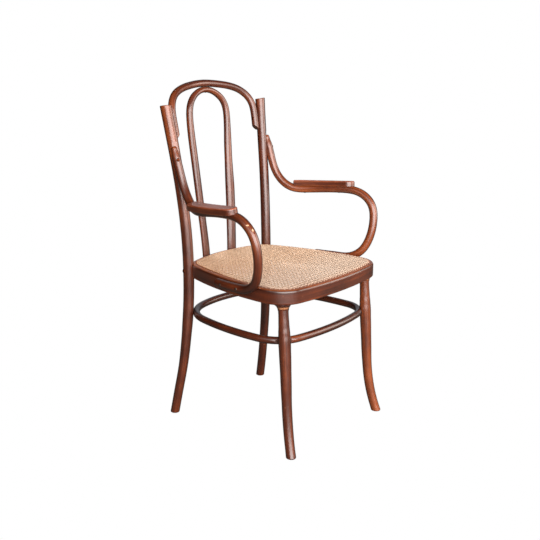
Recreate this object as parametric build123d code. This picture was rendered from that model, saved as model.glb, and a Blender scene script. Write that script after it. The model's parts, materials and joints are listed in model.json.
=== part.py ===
from build123d import *
import math
import os

# Bentwood armchair, millimetres, +Z up, front towards -Y, left-right symmetric about X = 0 but for the armrest boards
# and the rods under them.
# Origin: on the floor, under the middle of the chair's box. Right is +X, as seen from the front.

# ---------------------------------------------------------------- driving dimensions
SEAT_TOP = 462.0          # top of the seat ring
RING_H = 40.0             # height of the seat ring
RING_W = 44.0             # width of the seat ring in plan
RING_ARRIS = 7.0          # rounding of the outer top edge
RING_LOWER_ARRIS = 4.0    # rounding of the outer lower edge
RING_INNER_ARRIS = 2.5    # rounding of the inner edges

# seat outline: half of a chain of tangent arcs, from the middle of the front round to the back
SEAT_FRONT_Y = -259.6
SEAT_RADII = [996.3, 75.2, 862.0, 66.0]
SEAT_TURNS = [9.45, 79.8, 20.85, 51.3]
SEAT_FLAT = 0.7           # depth of the flat on the ring where a rear leg bears on it

# stretcher hoop: same kind of chain, for the rod's centreline
STRETCHER_Z = 313.4
STRETCHER_R = 10.25
STRETCHER_FLAT = 0.5      # least depth of the flats on the hoop where it meets the legs
STRETCHER_FRONT_Y = -230.6
STRETCHER_RADII = [748.0, 87.2, 731.7, 140.6]
STRETCHER_TURNS = [10.31, 75.82, 17.69, 62.77]

# rear leg: centreline (x, y, z)
POST = [(198.6, 206.2, -22), (197.1, 201.6, 0), (192.1, 188.7, 68.4), (184.6, 175.3, 146.6), (179.1, 165.0, 234.5),
        (174.0, 159.1, 322.4), (172.3, 156.2, 420.1), (173.7, 159.8, 547.1), (181.1, 172.5, 683.9),
        (190.6, 190.4, 810.9), (199.4, 205.0, 909.2)]
# half-axes of the leg's slightly oval section, the long one turned POST_TURN degrees from +X towards +Y
POST_A = [(-30, 13.4), (0, 13.4), (130, 13.5), (235, 14.4), (300, 15.6), (470, 15.8), (700, 15.4), (850, 16.3), (920, 16.4)]
POST_B = [(-30, 13.4), (0, 13.4), (130, 13.5), (235, 14.0), (300, 14.6), (470, 14.8), (700, 14.3), (850, 14.4), (920, 14.8)]
POST_TURN = 50.0

# front leg: centreline and radius against height, with its turned collar and tenon
LEG = [(209.9, -260.6, -22), (206.2, -253.5, 0), (197.8, -237.6, 60), (192.5, -226.7, 130), (190.4, -220.3, 220),
       (189.2, -213.6, 320), (188.5, -208.2, 400), (188.35, -207.1, 417)]
LEG_R = [(-30, 14.0), (0, 13.8), (20, 13.4), (130, 13.8), (217, 15.2), (285, 16.3), (318, 16.9), (342, 15.8), (360, 14.6), (388, 13.8), (430, 13.8)]
COLLAR_R = 24.6
COLLAR_H = 19.5
COLLAR_FOOT_R = 14.9
LEG_TENON_R = 10.5
LEG_TENON_L = 22.0
FOOT_EDGE = 2.5           # rounding under all four feet
POST_TOP_EDGE = 1.8       # rounding at the rear legs' tops

# top rail: half centreline from the middle to the end
CREST = [(0, 256.7, 959.9), (54.1, 252.9, 956.3), (103.0, 242.0, 948.2), (143.8, 229.1, 930.5),
         (167.1, 214.3, 900.1), (171.0, 204.0, 860.7), (169.8, 198.2, 829.0), (169.8, 195.4, 806.0)]
CREST_R = 10.5
CREST_CUT = (831.0, 811.0)  # slanting ends: height of the cut on the inner side and beside the rear leg
CREST_CUT_EDGE = 1.5
CREST_SCREW_Z = 850.0

# inner hoop: half centreline from the middle to the foot; section half-widths (across, front to back) and twist
HOOP = [(0, 248.2, 942.2), (42.8, 245.0, 930.2), (70.5, 238.4, 902.0), (78.2, 233.0, 853.6), (75.2, 227.6, 791.3),
        (70.8, 220.2, 718.7), (66.9, 211.5, 637.3), (61.1, 203.2, 548.2), (55.9, 197.2, 462.0), (54.4, 196.6, 431.0)]
HOOP_ACROSS = [(425, 14.2), (436, 15.8), (560, 15.4), (640, 15.0), (760, 12.6), (880, 10.2), (915, 9.4), (942, 8.6)]
HOOP_DEEP = [(425, 8.6), (500, 8.9), (640, 9.6), (760, 9.7), (942, 9.8)]
HOOP_TWIST = [(425, 10.0), (470, 13.0), (560, 18.0), (640, 19.0), (760, 11.0), (860, 0.0), (960, 0.0)]
HOOP_FOOT_EDGE = 3.5      # rounding of the feet's lower ends
HOOP_SCREW_Z = 443.0

# arm: centreline from the top lap to the start of the bottom run
ARM = [(197.9, 178.8, 798.0), (197.7, 157.3, 732.5), (201.2, 132.4, 677.6), (215.5, 91.4, 644.2), (237.5, 42.5, 640.6),
       (250.5, -18.3, 646.4), (258.6, -77.4, 650.5), (266.6, -132.4, 643.6), (269.1, -171.8, 611.0),
       (263.5, -183.0, 563.7), (255.0, -177.6, 516.8), (244.5, -156.5, 475.0)]
ARM_R = 12.0
ARM_TOP_R = [(740, 12.0), (768, 11.4), (786, 8.8), (799, 5.6), (810, 5.6)]    # taper of its top end against height
ARM_RUN_OFF = 10.6        # bottom run's centreline outside the ring's side
ARM_RUN = [(-114.0, 452.0), (-76.0, 449.0), (-38.0, 448.0), (0.0, 447.5)]     # bottom run: y, z
ARM_DROP = (0.0, 2.0)     # how much lower the right and the left rod run under the rear half of the board
LAP_Z = 762.0             # middle of the lap on the rear leg
LAP_DIR = (0.48, -0.877)  # from the rear leg towards the arm
LAP_DEPTH = 12.9          # rear leg's centre to the lap face

# armrest boards; pairs are right, left: the two do not sit at quite the same height
PAD_L_REAR = (221.9, 84.2)
PAD_L_MID = (247.0, -10.0)
PAD_L_FRONT = ((258.4, -87.2), (258.7, -95.5))
PAD_IN = 12.0              # width inside and outside this line
PAD_OUT = 28.0
PAD_T = 18.0
PAD_REF = ((236.0, 41.6, 649.2), (236.0, 41.6, 643.6))  # point on the underside
PAD_SLOPE = (4.8, 5.7)     # degrees, rising forwards
PAD_CANT = 6.0             # degrees, falling outwards
PAD_EDGE = 4.0
PAD_CORNER_IN = 3.0
PAD_CORNER_OUT = 26.0

# cane panel
CANE_INSET = 13.5
CANE_T = 2.0

# fasteners
SCREW_R = 2.2
SCREW_HEAD_R = 4.6
SCREW_HEAD_H = 2.6
SCREW_SINK = 1.9
SLOT_W = 1.0
SLOT_D = 1.1
BOLT_R = 3.2
BOLT_HEAD_R = 8.0
BOLT_HEAD_H = 4.0
WASHER_R = 8.0
WASHER_T = 1.6
NUT_SIDE = 11.0
NUT_T = 5.0

ORIGIN_Y = -0.05         # moves the finished chair so that its box is centred on the origin

RING_BASE = SEAT_TOP - RING_H
SIDE = Plane.YZ


# ---------------------------------------------------------------- helpers
def table(rows, v):
    """Smooth lookup: value at v between the rows of (position, value)."""
    rows = sorted(rows)
    if v <= rows[0][0]:
        return rows[0][1]
    for (a, fa), (b, fb) in zip(rows, rows[1:]):
        if v <= b:
            t = (v - a) / (b - a)
            t = t * t * (3 - 2 * t)
            return fa + (fb - fa) * t
    return rows[-1][1]


def chain(front_y, radii, turns, inset=0.0):
    """Right half of a closed outline of tangent arcs: list of (start, middle, end, centre, radius)."""
    t = [math.radians(a) for a in turns]
    t.append(math.pi - sum(t))
    ph = [0.0]
    for a in t:
        ph.append(ph[-1] + a)
    r = list(radii)
    r.append(sum(r[i] * (math.sin(ph[i + 1]) - math.sin(ph[i])) for i in range(4)) / math.sin(ph[4]))
    out = []
    x, y = 0.0, front_y + inset
    for i in range(5):
        q = r[i] - inset
        a, b, m = ph[i], ph[i + 1], 0.5 * (ph[i] + ph[i + 1])
        cx, cy = x - q * math.sin(a), y + q * math.cos(a)
        mid = (cx + q * math.sin(m), cy - q * math.cos(m))
        end = (cx + q * math.sin(b), cy - q * math.cos(b))
        if i == 4:
            end = (0.0, end[1])
        out.append(((x, y), mid, end, (cx, cy), q))
        x, y = end
    return out


def outline(front_y, radii, turns, inset=0.0):
    """Closed face inside the outline."""
    half = chain(front_y, radii, turns, inset)
    edges = [ThreePointArc(s, m, e) for s, m, e, c, r in half]
    flip = lambda p: (-p[0], p[1])
    edges += [ThreePointArc(flip(e), flip(m), flip(s)) for s, m, e, c, r in reversed(half)]
    return make_face(Wire(edges))


def rod(points, section, count, hint):
    """Round or oval rod through cross-sections square to a smooth centreline."""
    path = Spline(*[Vector(*p) for p in points])
    x = Vector(*hint)
    cuts = []
    for i in range(count):
        u = i / (count - 1)
        o, d = path @ u, path % u
        x = (x - d * x.dot(d)).normalized()
        a, b, twist = section(o, u)
        pl = Plane(origin=o, x_dir=x, z_dir=d)
        if twist:
            pl = pl.rotated((0, 0, twist))
        cuts.append(pl * (Circle(a) if abs(a - b) < 1e-9 else Ellipse(a, b)))
    return loft(cuts), path


def half_block(plane, w, h, d):
    """Block standing on a plane's positive side."""
    return plane * Box(w, h, d, align=(Align.CENTER, Align.CENTER, Align.MIN))


def peg(p, d, r, length, start=0.0):
    """Cylinder from p along d."""
    d = Vector(*d).normalized()
    o = Vector(*p) + d * start
    return Plane(origin=o, z_dir=d) * Cylinder(r, length, align=(Align.CENTER, Align.CENTER, Align.MIN))


def screw(p, d, length, r=SCREW_R, head_r=SCREW_HEAD_R, head_h=SCREW_HEAD_H, slot=True):
    """Round-head screw: seat of the head at p, shank along d, domed and slotted head on the other side."""
    d = Vector(*d).normalized()
    pl = Plane(origin=Vector(*p), z_dir=d)
    rim = 0.5
    dome_r = (head_r ** 2 + (head_h - rim) ** 2) / (2 * (head_h - rim))
    prof = make_face(Wire([
        Line((0, length), (0, -head_h)),
        ThreePointArc((0, -head_h),
                      (head_r / 2, -rim - (math.sqrt(dome_r ** 2 - head_r ** 2 / 4) - (dome_r - (head_h - rim)))),
                      (head_r, -rim)),
        Line((head_r, -rim), (head_r, 0)), Line((head_r, 0), (r, 0)),
        Line((r, 0), (r, length - 1.2)), Line((r, length - 1.2), (r * 0.4, length)), Line((r * 0.4, length), (0, length))]))
    body = revolve(Plane.XZ * prof, Axis.Z, 360)
    if slot:
        body = body - Pos(0, 0, -head_h) * Box(3 * head_r, SLOT_W, 2 * SLOT_D)
    return pl * body


def screw_hole(p, d, length, r=SCREW_R, head_r=SCREW_HEAD_R, depth=12.0):
    """Pilot hole and flat seat for a screw."""
    return peg(p, d, r, length + 0.6) + peg(p, d, head_r, depth, start=-depth)


def both(shape):
    return [shape, mirror(shape, about=SIDE)]


def unit(v):
    n = math.sqrt(sum(c * c for c in v))
    return tuple(c / n for c in v)


# ---------------------------------------------------------------- seat ring
seat_arcs = chain(SEAT_FRONT_Y, SEAT_RADII, SEAT_TURNS)
ring_outer = outline(SEAT_FRONT_Y, SEAT_RADII, SEAT_TURNS)
ring_inner = outline(SEAT_FRONT_Y, SEAT_RADII, SEAT_TURNS, RING_W)
seat_block = Pos(0, 0, RING_BASE) * extrude(ring_outer, RING_H)
seat_ring = Pos(0, 0, RING_BASE) * extrude(ring_outer - ring_inner, RING_H)
top_face = seat_ring.faces().sort_by(Axis.Z)[-1]
low_face = seat_ring.faces().sort_by(Axis.Z)[0]
seat_ring = fillet(top_face.outer_wire().edges(), RING_ARRIS)
low_face = seat_ring.faces().sort_by(Axis.Z)[0]
seat_ring = fillet(low_face.outer_wire().edges(), RING_LOWER_ARRIS)
for pick in (-1, 0):
    f = seat_ring.faces().sort_by(Axis.Z)[pick]
    seat_ring = fillet(f.inner_wires()[0].edges(), RING_INNER_ARRIS)

# ---------------------------------------------------------------- rear leg (right)
def post_section(o, u):
    return table(POST_A, o.Z), table(POST_B, o.Z), POST_TURN


rear_leg, post_path = rod(POST, post_section, 34, (1, 0, 0))
rear_leg = rear_leg - Pos(0, 0, -50) * Box(2000, 2000, 100)
rear_leg = fillet(rear_leg.faces().sort_by(Axis.Z)[0].edges(), FOOT_EDGE)
rear_leg = fillet(rear_leg.faces().filter_by(GeomType.PLANE).sort_by(Axis.Z)[-1].edges(), POST_TOP_EDGE)


def on_path(points, z):
    """Centreline point and direction at a height."""
    path = Spline(*[Vector(*p) for p in points])
    lo, hi = 0.0, 1.0
    for _ in range(50):
        m = 0.5 * (lo + hi)
        if (path @ m).Z < z:
            lo = m
        else:
            hi = m
    return path @ lo, path % lo


post_seat, _ = on_path(POST, SEAT_TOP - RING_H / 2)
corner_c, corner_r = seat_arcs[3][3], seat_arcs[3][4]
seat_dir = unit((post_seat.X - corner_c[0], post_seat.Y - corner_c[1], 0))
# rear leg's centre to the face that the ring bears on
SEAT_HOUSE = math.hypot(post_seat.X - corner_c[0], post_seat.Y - corner_c[1]) - corner_r + SEAT_FLAT
seat_face = Vector(post_seat.X - seat_dir[0] * SEAT_HOUSE, post_seat.Y - seat_dir[1] * SEAT_HOUSE, SEAT_TOP - RING_H / 2)
inward = Plane(origin=seat_face, x_dir=(-seat_dir[1], seat_dir[0], 0), z_dir=tuple(-c for c in seat_dir))
outward = Plane(origin=seat_face, x_dir=(-seat_dir[1], seat_dir[0], 0), z_dir=seat_dir)
rear_leg = rear_leg - half_block(inward, 60, RING_H, 20)
for s in both(half_block(outward, 60, 80, 60)):
    seat_ring = seat_ring - s

# ---------------------------------------------------------------- front leg (right)
def leg_section(o, u):
    r = table(LEG_R, o.Z)
    return r, r, 0


front_leg, leg_path = rod(LEG, leg_section, 44, (1, 0, 0))
front_leg = front_leg - Pos(0, 0, -50) * Box(2000, 2000, 100)
front_leg = fillet(front_leg.faces().sort_by(Axis.Z)[0].edges(), FOOT_EDGE)
leg_axis = unit((-0.7, 5.4, 80.0))
k = (RING_BASE - 400.0) / leg_axis[2]
leg_top = Vector(188.5 + leg_axis[0] * k, -208.2 + leg_axis[1] * k, RING_BASE)
leg_plane = Plane(origin=leg_top, x_dir=(1, 0, -leg_axis[0] / leg_axis[2]), z_dir=leg_axis)
collar = make_face(Wire([
    Line((0, -COLLAR_H), (COLLAR_FOOT_R, -COLLAR_H)),
    Line((COLLAR_FOOT_R, -COLLAR_H), (COLLAR_FOOT_R, -COLLAR_H + 1.8)),
    ThreePointArc((COLLAR_FOOT_R, -COLLAR_H + 1.8), (COLLAR_FOOT_R + 2.3, -COLLAR_H / 2 - 1.0), (COLLAR_R, -2.4)),
    Line((COLLAR_R, -2.4), (COLLAR_R, 4.0)), Line((COLLAR_R, 4.0), (0, 4.0)), Line((0, 4.0), (0, -COLLAR_H))]))
collar = leg_plane * revolve(Plane.XZ * collar, Axis.Z, 360)
collar = collar - Pos(0, 0, RING_BASE + 50) * Box(2000, 2000, 100)
leg_tenon = leg_plane * Cylinder(LEG_TENON_R, LEG_TENON_L + 5, align=(Align.CENTER, Align.CENTER, Align.MIN)).moved(Pos(0, 0, -5))
front_leg = front_leg - Pos(0, 0, RING_BASE + 50) * Box(2000, 2000, 100)
front_leg = front_leg + collar + leg_tenon
leg_bore = leg_plane * Cylinder(LEG_TENON_R, LEG_TENON_L + 12, align=(Align.CENTER, Align.CENTER, Align.MIN)).moved(Pos(0, 0, -10))
for s in both(leg_bore):
    seat_ring = seat_ring - s

# ---------------------------------------------------------------- stretcher hoop
ring_arcs = chain(STRETCHER_FRONT_Y, STRETCHER_RADII, STRETCHER_TURNS)
lift = lambda p: (p[0], p[1], STRETCHER_Z)
flip = lambda p: (-p[0], p[1], STRETCHER_Z)
ring_edges = [ThreePointArc(lift(s), lift(m), lift(e)) for s, m, e, c, r in ring_arcs]
ring_edges += [ThreePointArc(flip(e), flip(m), flip(s)) for s, m, e, c, r in reversed(ring_arcs)]
ring_section = Plane(origin=(0, STRETCHER_FRONT_Y, STRETCHER_Z), x_dir=(0, 0, 1), z_dir=(1, 0, 0)) * Circle(STRETCHER_R)
stretcher_ring = sweep(ring_section, path=Wire(ring_edges))
stretch_joint = []
for points, depth in ((POST, 14.2), (LEG, 13.9)):
    c, _ = on_path(points, STRETCHER_Z)
    best = None
    for s, m, e, cc, r in ring_arcs:
        d = unit((c.X - cc[0], c.Y - cc[1], 0))
        q = Vector(cc[0] + d[0] * r, cc[1] + d[1] * r, STRETCHER_Z)
        span = math.hypot(e[0] - s[0], e[1] - s[1]) / 2
        mid = Vector((s[0] + e[0]) / 2, (s[1] + e[1]) / 2, STRETCHER_Z)
        gap = math.hypot(c.X - q.X, c.Y - q.Y)
        if (best is None or gap < best[0]) and (q - mid).length < span * 1.25:
            best = (gap, q, d)
    gap, q, d = best
    stretch_joint.append((c, q, d, max(depth, gap - STRETCHER_R + STRETCHER_FLAT)))
# screw holes through the hoop
stretch_seats = []
for c, q, d, depth in stretch_joint:
    seat = Vector(q.X - d[0] * (STRETCHER_R - SCREW_SINK), q.Y - d[1] * (STRETCHER_R - SCREW_SINK), STRETCHER_Z)
    length = (c - seat).length + 4.0
    stretch_seats.append((seat, length))
    for cut in (peg(tuple(seat), d, SCREW_R, length + 0.6, start=-0.5), peg(tuple(seat), d, SCREW_HEAD_R, 12.0, start=-12.0)):
        for s in both(cut):
            stretcher_ring = stretcher_ring - s
# each leg has a shallow housing, the hoop a flat, and they meet on one face
for idx, (c, q, d, depth) in enumerate(stretch_joint):
    face = Vector(c.X - d[0] * depth, c.Y - d[1] * depth, STRETCHER_Z)
    xd = (-d[1], d[0], 0)
    out_p = Plane(origin=face, x_dir=xd, z_dir=d)
    in_p = Plane(origin=face, x_dir=xd, z_dir=tuple(-v for v in d))
    for s in both(half_block(out_p, 70, 40, 30)):
        stretcher_ring = stretcher_ring - s
    notch = half_block(in_p, 60, 2 * STRETCHER_R + 0.6, 20)
    if idx == 0:
        rear_leg = rear_leg - notch
    else:
        front_leg = front_leg - notch

# ---------------------------------------------------------------- top rail
crest_pts = [(-x, y, z) for x, y, z in reversed(CREST[1:])] + CREST


def crest_section(o, u):
    return CREST_R, CREST_R, 0


crest_rail, crest_path = rod(crest_pts, crest_section, 59, (0, 1, 0))
# each end is sawn off slanting, lower against the rear leg
end_at = Vector(CREST[-2][0], CREST[-2][1], sum(CREST_CUT) / 2)
slant = Vector(2 * CREST_R, 0, CREST_CUT[1] - CREST_CUT[0]).normalized()
end_cut = Plane(origin=end_at, x_dir=slant, z_dir=Vector(slant.Z, 0, -slant.X))
for s in both(half_block(end_cut, 80, 80, 60)):
    crest_rail = crest_rail - s
ends = [f for f in crest_rail.faces() if f.geom_type == GeomType.PLANE]
crest_rail = fillet([e for f in ends for e in f.edges()], CREST_CUT_EDGE)
# flat on the rail's outside and on the rear leg's inside, on one plane
crest_face = Vector(178.5, 198.0, 840.0)
post_at, post_dir = on_path(POST, 840.0)
crest_n = Vector(1, 0.06, 0)
crest_n = (crest_n - post_dir * crest_n.dot(post_dir)).normalized()
crest_out = Plane(origin=crest_face, x_dir=post_dir, z_dir=crest_n)
crest_in = Plane(origin=crest_face, x_dir=post_dir, z_dir=-crest_n)
for s in both(half_block(crest_out, 150, 60, 40)):
    crest_rail = crest_rail - s
rear_leg = rear_leg - half_block(crest_in, 84, 60, 20)

# ---------------------------------------------------------------- inner hoop
hoop_pts = [(-x, y, z) for x, y, z in reversed(HOOP[1:])] + HOOP


def hoop_section(o, u):
    side = -1 if o.X > 0 else 1
    return table(HOOP_ACROSS, o.Z), table(HOOP_DEEP, o.Z), side * table(HOOP_TWIST, o.Z)


back_hoop, hoop_path = rod(hoop_pts, hoop_section, 59, (1, 0, 0))
ends = [f for f in back_hoop.faces() if f.geom_type == GeomType.PLANE]
back_hoop = fillet([e for f in ends for e in f.edges()], HOOP_FOOT_EDGE)
# the feet are planed to the curve of the ring's back and lie against it
back_hoop = back_hoop - seat_block
# the hoop's crown and the rail's underside meet on a small flat
crown, rail = Vector(*HOOP[0]), Vector(*CREST[0])
touch_n = (rail - crown).normalized()
touch = crown + touch_n * ((rail - crown).length - CREST_R + 0.5)
touch_up = Plane(origin=touch, x_dir=(1, 0, 0), z_dir=touch_n)
touch_dn = Plane(origin=touch, x_dir=(1, 0, 0), z_dir=-touch_n)
back_hoop = back_hoop - half_block(touch_up, 90, 60, 30)
crest_rail = crest_rail - half_block(touch_dn, 60, 60, 6)

# ---------------------------------------------------------------- arms, both drawn as for the right-hand side
side_c, side_r = seat_arcs[2][3], seat_arcs[2][4]
run = []
for y, z in ARM_RUN:
    rr = side_r + ARM_RUN_OFF
    run.append((side_c[0] + math.sqrt(rr * rr - (y - side_c[1]) ** 2), y, z))


def arm_section(o, u):
    r = table(ARM_TOP_R, o.Z)
    return r, r, 0


arms, arm_paths = [], []
for drop in ARM_DROP:
    line = [(x, y, z - drop if 40 < y < 95 else z) for x, y, z in ARM]
    arm, arm_path = rod(line + run, arm_section, 72, (1, 0, 0))
    ends = [f for f in arm.faces() if f.geom_type == GeomType.PLANE]
    for f, edge in zip(sorted(ends, key=lambda f: f.center().Z), (6.0, 2.5)):
        arm = fillet([min(arm.edges(), key=lambda e: (e.center() - f.center()).length + abs(e.length - f.edges()[0].length))], edge)
    arms.append(arm - seat_block)
    arm_paths.append(arm_path)
arm_path = arm_paths[0]
# lap on the rear leg
post_at, post_dir = on_path(POST, LAP_Z)
lap_n = Vector(LAP_DIR[0], LAP_DIR[1], 0)
lap_n = (lap_n - post_dir * lap_n.dot(post_dir)).normalized()
lap_o = post_at + lap_n * LAP_DEPTH
lap_front = Plane(origin=lap_o, x_dir=post_dir, z_dir=lap_n)
lap_back = Plane(origin=lap_o, x_dir=post_dir, z_dir=-lap_n)
arms = [a - half_block(lap_back, 170, 80, 60) for a in arms]
rear_leg = rear_leg - half_block(lap_front, 96, 60, 30)

# ---------------------------------------------------------------- armrest board (right)
def three_point_circle(a, b, c):
    ax, ay, bx, by, cx, cy = a[0], a[1], b[0], b[1], c[0], c[1]
    d = 2 * (ax * (by - cy) + bx * (cy - ay) + cx * (ay - by))
    ux = ((ax * ax + ay * ay) * (by - cy) + (bx * bx + by * by) * (cy - ay) + (cx * cx + cy * cy) * (ay - by)) / d
    uy = ((ax * ax + ay * ay) * (cx - bx) + (bx * bx + by * by) * (ax - cx) + (cx * cx + cy * cy) * (bx - ax)) / d
    return (ux, uy), math.hypot(ax - ux, ay - uy)


def board(side):
    """One board as for the right-hand side, the room it takes out of its arm, and its upward direction."""
    front, t, ref, slope = PAD_L_FRONT[side], PAD_T, PAD_REF[side], PAD_SLOPE[side]
    c, r = three_point_circle(PAD_L_REAR, PAD_L_MID, front)

    def polar(p, rad):
        d = unit((p[0] - c[0], p[1] - c[1], 0))
        return (c[0] + d[0] * rad, c[1] + d[1] * rad)

    h = (PAD_OUT + PAD_IN) / 2
    ro, ri = r + PAD_OUT, r - PAD_IN
    fo, fi = polar(front, ro), polar(front, ri)
    along = unit((front[1] - c[1], -(front[0] - c[0]), 0))
    mid = polar(front, r + (PAD_OUT - PAD_IN) / 2)
    tip = (mid[0] + along[0] * h, mid[1] + along[1] * h)
    if tip[1] > mid[1]:
        tip = (mid[0] - along[0] * h, mid[1] - along[1] * h)
    face = make_face(Wire([
        ThreePointArc(polar(PAD_L_REAR, ro), polar(PAD_L_MID, ro), fo),
        ThreePointArc(fo, tip, fi),
        ThreePointArc(fi, polar(PAD_L_MID, ri), polar(PAD_L_REAR, ri)),
        Line(polar(PAD_L_REAR, ri), polar(PAD_L_REAR, ro))]))
    tilt = Pos(*ref) * Rot(-slope, 0, 0) * Rot(0, PAD_CANT, 0) * Pos(-ref[0], -ref[1], 0)
    flat = extrude(face, t)
    for pick, edge in ((-1, PAD_CORNER_OUT), (0, PAD_CORNER_IN)):
        rear = flat.edges().filter_by(Axis.Z).sort_by(Axis.Y)[-2:].sort_by(Axis.X)
        flat = fillet([rear[pick]], edge)
    made = fillet(flat.faces().sort_by(Axis.Z)[-1].edges(), PAD_EDGE)
    made = fillet(made.faces().sort_by(Axis.Z)[0].edges(), 2.5)
    room = tilt * extrude(flat.faces().sort_by(Axis.Z)[0], -(t + 14))
    sl, ct = math.radians(slope), math.radians(PAD_CANT)
    return tilt * made, room, unit((math.sin(ct), math.cos(ct) * math.sin(sl), math.cos(ct) * math.cos(sl)))


pads, rooms, pad_ups = zip(*[board(0), board(1)])
pads = list(pads)
arms = [a - room for a, room in zip(arms, rooms)]

# ---------------------------------------------------------------- cane panel
cane_panel = Pos(0, 0, SEAT_TOP) * extrude(outline(SEAT_FRONT_Y, SEAT_RADII, SEAT_TURNS, CANE_INSET), CANE_T)

# ---------------------------------------------------------------- fasteners
stretcher_screws = []
for idx, ((c, q, d, depth), (seat, length)) in enumerate(zip(stretch_joint, stretch_seats)):
    hole = screw_hole(tuple(seat), d, length)
    stretcher_screws += both(screw(tuple(seat), d, length))
    if idx == 0:
        rear_leg = rear_leg - hole
    else:
        front_leg = front_leg - hole

# bolt through each rear leg and the seat ring, washer and square nut inside the ring
BOLT_Z = SEAT_TOP - RING_H / 2
head_seat = Vector(post_seat.X + seat_dir[0] * 13.6, post_seat.Y + seat_dir[1] * 13.6, BOLT_Z)
bolt_d = tuple(-v for v in seat_dir)
inner_seat = head_seat + Vector(*bolt_d) * (13.6 + SEAT_HOUSE + RING_W - 2.2)
grip = (inner_seat - head_seat).length
bolt_len = grip + WASHER_T + NUT_T + 2.5
bolt = screw(tuple(head_seat), bolt_d, bolt_len, r=BOLT_R, head_r=BOLT_HEAD_R, head_h=BOLT_HEAD_H, slot=False)
bolt_hole = peg(tuple(head_seat), bolt_d, BOLT_R, grip + 40) + peg(tuple(head_seat), bolt_d, BOLT_HEAD_R, 20, start=-20)
rear_leg = rear_leg - bolt_hole
ring_hole = peg(tuple(seat_face), bolt_d, BOLT_R, RING_W + 20, start=-5) + peg(tuple(inner_seat), bolt_d, WASHER_R + 0.6, 25)
for s in both(ring_hole):
    seat_ring = seat_ring - s
washer = peg(tuple(inner_seat), bolt_d, WASHER_R, WASHER_T) - peg(tuple(inner_seat), bolt_d, BOLT_R, WASHER_T + 2, start=-1)
nut_o = inner_seat + Vector(*bolt_d) * WASHER_T
nut_pl = Plane(origin=nut_o, x_dir=(0, 0, 1), z_dir=bolt_d)
nut = nut_pl * Box(NUT_SIDE, NUT_SIDE, NUT_T, align=(Align.CENTER, Align.CENTER, Align.MIN))
nut = nut - peg(tuple(nut_o), bolt_d, BOLT_R, NUT_T + 2, start=-1)

# arm to rear leg
arm_at = None
for i in range(401):
    p = arm_path @ (i / 400)
    if p.Z > 700 and (arm_at is None or abs((p - lap_o).dot(post_dir)) < abs((arm_at - lap_o).dot(post_dir))):
        arm_at = p
reach = (arm_at - lap_o).dot(lap_n) + ARM_R - SCREW_SINK
lap_seat = arm_at + lap_n * (ARM_R - SCREW_SINK)
lap_len = reach + 17.0
lap_d = tuple(-lap_n)
arm_post_screws = both(screw(tuple(lap_seat), lap_d, lap_len))
lap_hole = screw_hole(tuple(lap_seat), lap_d, lap_len)
arms = [a - lap_hole for a in arms]
rear_leg = rear_leg - lap_hole

# arm's bottom run to the ring
arm_seat_screws = []
for y in (-92.0, -28.0):
    rr = side_r + ARM_RUN_OFF + ARM_R - SCREW_SINK
    x = side_c[0] + math.sqrt(rr * rr - (y - side_c[1]) ** 2)
    d = unit((side_c[0] - x, side_c[1] - y, 0))
    p = (x, y, min((abs((arm_path @ (i / 800)).Y - y), (arm_path @ (i / 800)).Z) for i in range(560, 801))[1])
    length = ARM_RUN_OFF + ARM_R - SCREW_SINK + 18.0
    arm_seat_screws += both(screw(p, d, length))
    hole = screw_hole(p, d, length)
    arms = [a - hole for a in arms]
    for s in both(hole):
        seat_ring = seat_ring - s

# top rail to rear legs
crest_at, _ = on_path(list(reversed(CREST)), CREST_SCREW_Z)
rail_seat = crest_at - crest_n * (CREST_R - SCREW_SINK)
crest_len = (crest_face - rail_seat).dot(crest_n) + 18.0
crest_screws = both(screw(tuple(rail_seat), tuple(crest_n), crest_len))
hole = screw_hole(tuple(rail_seat), tuple(crest_n), crest_len)
rear_leg = rear_leg - hole
for s in both(hole):
    crest_rail = crest_rail - s

# hoop's crown to the top rail
crown_seat = crown - touch_n * (8.6 - 1.4)
crown_len = (touch - crown_seat).length + 13.0
hoop_crest_screw = screw(tuple(crown_seat), tuple(touch_n), crown_len)
hole = screw_hole(tuple(crown_seat), tuple(touch_n), crown_len)
back_hoop = back_hoop - hole
crest_rail = crest_rail - hole

# hoop's feet to the back of the ring
hoop_foot, _ = on_path(list(reversed(HOOP)), HOOP_SCREW_Z)
back_c = seat_arcs[4][3]
foot_d = unit((back_c[0] - hoop_foot.X, back_c[1] - hoop_foot.Y, 0))
foot_seat = hoop_foot - Vector(*foot_d) * (8.7 - SCREW_SINK)
foot_len = 8.7 - SCREW_SINK + 26.0
hoop_seat_screws = both(screw(tuple(foot_seat), foot_d, foot_len))
hole = screw_hole(tuple(foot_seat), foot_d, foot_len)
for s in both(hole):
    back_hoop = back_hoop - s
    seat_ring = seat_ring - s

# boards to arms, from below
pad_screws, pad_seats = [], []
for y in (52.0, -62.0):
    for side in (0, 1):
        best = None
        for i in range(801):
            p = arm_paths[side] @ (i / 800)
            if p.Z > 600 and (best is None or abs(p.Y - y) < abs(best.Y - y)):
                best = p
        n = Vector(*pad_ups[side])
        seat = best - n * (ARM_R - SCREW_SINK)
        pad_seats.append((side, seat, (Vector(*PAD_REF[side]) - seat).dot(n)))
pad_len = max(depth for _, _, depth in pad_seats) + 6.0
for side, seat, depth in pad_seats:
    made = screw(tuple(seat), pad_ups[side], pad_len)
    pad_screws.append(mirror(made, about=SIDE) if side else made)
    hole = screw_hole(tuple(seat), pad_ups[side], pad_len)
    arms[side] = arms[side] - hole
    pads[side] = pads[side] - hole
print("board screws", round(pad_len, 1), [round(pad_len - depth, 1) for _, _, depth in pad_seats])

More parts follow.
